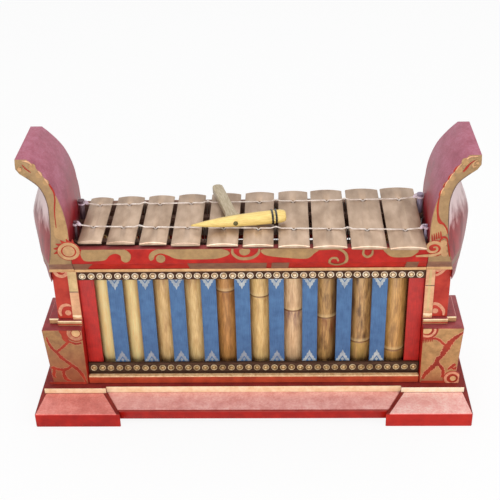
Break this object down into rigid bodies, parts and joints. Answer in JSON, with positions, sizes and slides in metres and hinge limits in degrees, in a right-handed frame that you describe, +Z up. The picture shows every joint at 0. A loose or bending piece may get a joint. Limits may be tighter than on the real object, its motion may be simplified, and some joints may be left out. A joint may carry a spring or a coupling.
{
  "type": "gamelan metallophone",
  "caption": "Low trestle metallophone: arched bronze keys hung on two cords over bamboo resonators, in a painted wooden case with upswept horns, and a wooden mallet on the keys.",
  "frame": {"origin": "on the floor, under the middle of the base", "axes": "+X along the row of keys towards the largest key, -Y towards the audience's side, +Z up"},
  "size_m": [0.54, 0.172, 0.3507],
  "materials": {
    "painted_wood": "glossy red paint with gold ornament",
    "red_slat": "satin red paint",
    "blue_slat": "satin blue paint with silver tips",
    "dark_wood": "dark stain, with brass nail heads and wire hooks",
    "bamboo": "bare bamboo",
    "bronze": "cast bronze, filed dull",
    "cord": "twisted cotton cord",
    "head_wood": "yellow lacquered wood",
    "handle_wood": "bare grey-brown wood",
    "binding": "glossy black ring"
  },
  "bodies": {
    "case": {"base_board": "painted_wood", "left_foot": "painted_wood", "right_foot": "painted_wood", "plinth": "painted_wood", "left_block": "painted_wood", "right_block": "painted_wood", "left_collar": "painted_wood", "right_collar": "painted_wood", "left_post": "painted_wood", "right_post": "painted_wood", "front_sill": "painted_wood", "back_sill": "painted_wood", "back_panel": "painted_wood", "front_beam": "painted_wood", "back_beam": "painted_wood", "left_horn": "painted_wood", "right_horn": "painted_wood", "slat_1": "red_slat", "slat_11": "red_slat", "slat_2": "blue_slat", "slat_3": "blue_slat", "slat_4": "blue_slat", "slat_5": "blue_slat", "slat_6": "blue_slat", "slat_7": "blue_slat", "slat_8": "blue_slat", "slat_9": "blue_slat", "slat_10": "blue_slat", "front_lower_rail": "dark_wood", "front_upper_rail": "dark_wood", "front_cord_rail": "dark_wood", "rear_cord_rail": "dark_wood", "resonator_shelf": "dark_wood", "tube_1": "bamboo", "tube_2": "bamboo", "tube_3": "bamboo", "tube_4": "bamboo", "tube_5": "bamboo", "tube_6": "bamboo", "tube_7": "bamboo", "tube_8": "bamboo", "tube_9": "bamboo", "tube_10": "bamboo", "front_cord": "cord", "rear_cord": "cord"},
    "key_1": {"key_1": "bronze"},
    "key_2": {"key_2": "bronze"},
    "key_3": {"key_3": "bronze"},
    "key_4": {"key_4": "bronze"},
    "key_5": {"key_5": "bronze"},
    "key_6": {"key_6": "bronze"},
    "key_7": {"key_7": "bronze"},
    "key_8": {"key_8": "bronze"},
    "key_9": {"key_9": "bronze"},
    "key_10": {"key_10": "bronze"},
    "mallet": {"mallet_head": "head_wood", "mallet_handle": "handle_wood", "mallet_peg": "dark_wood", "mallet_binding_1": "binding", "mallet_binding_2": "binding"}
  },
  "joints": [
    {"name": "key_1_press", "type": "slide", "parent": "case", "child": "key_1", "axis": [0, 0, 1], "range_m": [-0.003, 0], "stiffness_N_per_m": 900, "springref_m": 0.0015},
    {"name": "key_2_press", "type": "slide", "parent": "case", "child": "key_2", "axis": [0, 0, 1], "range_m": [-0.003, 0], "stiffness_N_per_m": 1100, "springref_m": 0.0015},
    {"name": "key_3_press", "type": "slide", "parent": "case", "child": "key_3", "axis": [0, 0, 1], "range_m": [-0.003, 0], "stiffness_N_per_m": 1200, "springref_m": 0.0015},
    {"name": "key_4_press", "type": "slide", "parent": "case", "child": "key_4", "axis": [0, 0, 1], "range_m": [-0.003, 0], "stiffness_N_per_m": 1300, "springref_m": 0.0015},
    {"name": "key_5_press", "type": "slide", "parent": "case", "child": "key_5", "axis": [0, 0, 1], "range_m": [-0.003, 0], "stiffness_N_per_m": 1450, "springref_m": 0.0015},
    {"name": "key_6_press", "type": "slide", "parent": "case", "child": "key_6", "axis": [0, 0, 1], "range_m": [-0.003, 0], "stiffness_N_per_m": 1500, "springref_m": 0.0015},
    {"name": "key_7_press", "type": "slide", "parent": "case", "child": "key_7", "axis": [0, 0, 1], "range_m": [-0.003, 0], "stiffness_N_per_m": 1600, "springref_m": 0.0015},
    {"name": "key_8_press", "type": "slide", "parent": "case", "child": "key_8", "axis": [0, 0, 1], "range_m": [-0.003, 0], "stiffness_N_per_m": 1800, "springref_m": 0.0015},
    {"name": "key_9_press", "type": "slide", "parent": "case", "child": "key_9", "axis": [0, 0, 1], "range_m": [-0.003, 0], "stiffness_N_per_m": 1900, "springref_m": 0.0015},
    {"name": "key_10_press", "type": "slide", "parent": "case", "child": "key_10", "axis": [0, 0, 1], "range_m": [-0.003, 0], "stiffness_N_per_m": 2000, "springref_m": 0.0015},
    {"name": "mallet_lift", "type": "slide", "parent": "case", "child": "mallet", "axis": [0, 0, 1], "range_m": [0, 0.12]}
  ]
}
